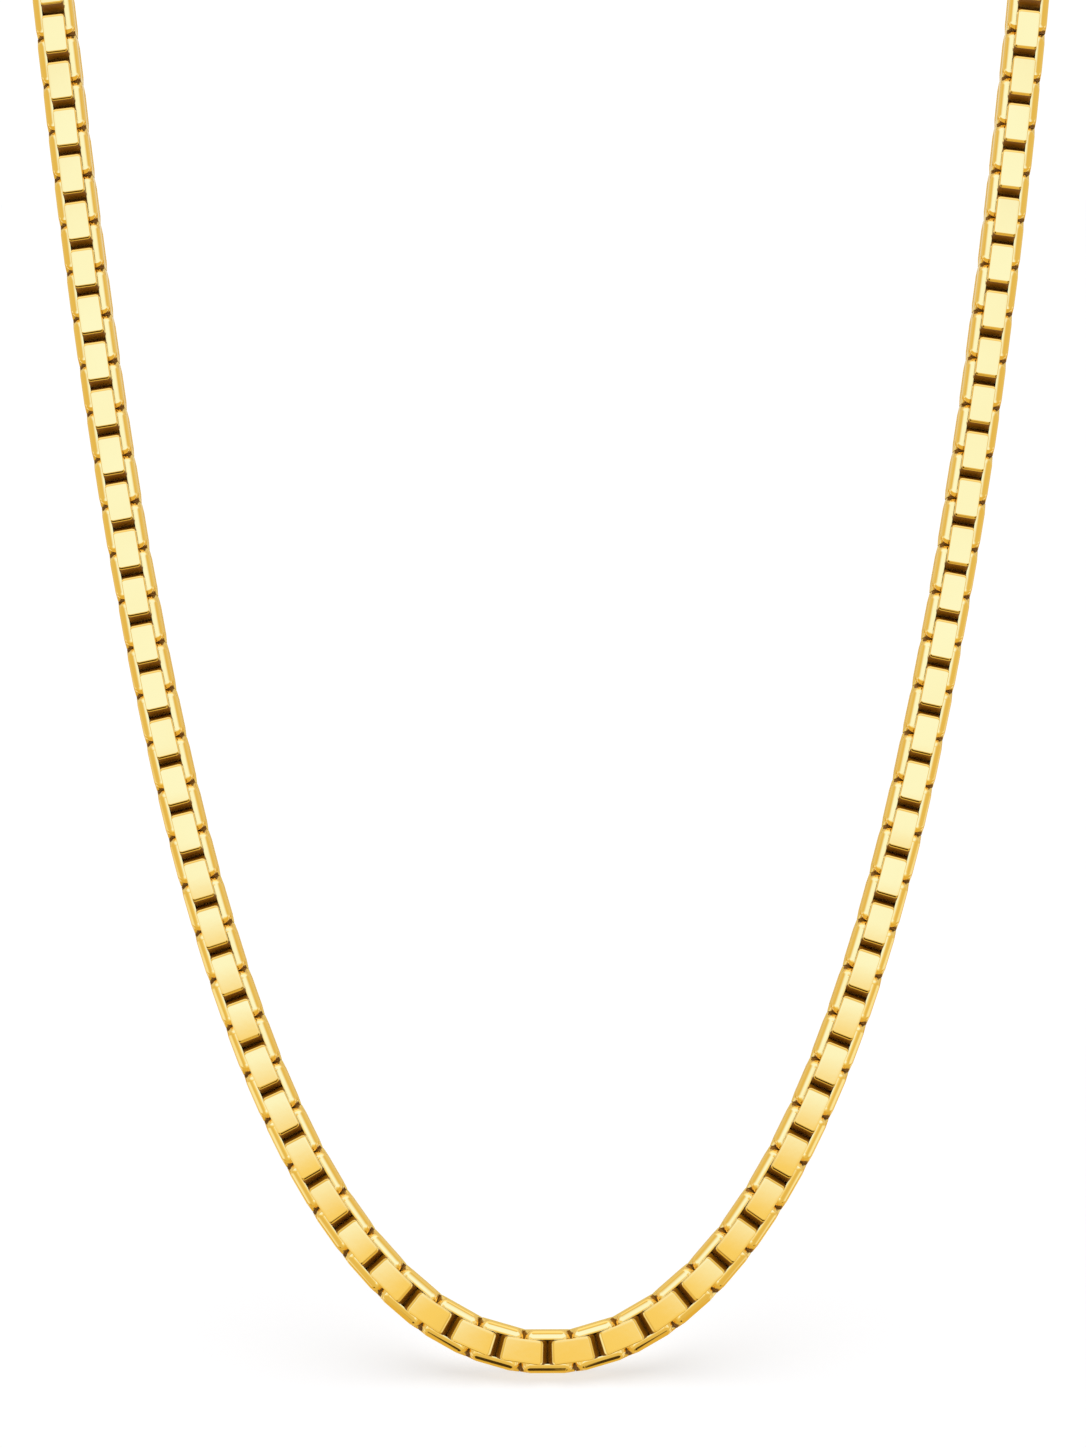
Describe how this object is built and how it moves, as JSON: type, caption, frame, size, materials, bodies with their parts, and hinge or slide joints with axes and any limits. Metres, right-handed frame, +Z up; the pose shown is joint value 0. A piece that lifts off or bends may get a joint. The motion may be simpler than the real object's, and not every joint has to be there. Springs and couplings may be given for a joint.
{
  "type": "mirror chain necklace",
  "caption": "Gold necklace of flat polished box links in its worn form, closed at the nape by a clasp between two jump rings.",
  "frame": {"origin": "on the nape: the middle of the inner side of the clasp, where the back of a neck carries the necklace", "axes": "+Z up, -Y the wearer's front, +X to the right of one who faces the wearer"},
  "size_m": [0.1324, 0.1183, 0.2007],
  "materials": {
    "mirror_links": "yellow gold plate, polished to a mirror",
    "fastening": "yellow gold plate, polished"
  },
  "bodies": {
    "root": {"chain_left": "mirror_links", "chain_right": "mirror_links", "ring_left": "fastening", "ring_right": "fastening", "clasp": "fastening"}
  },
  "joints": []
}
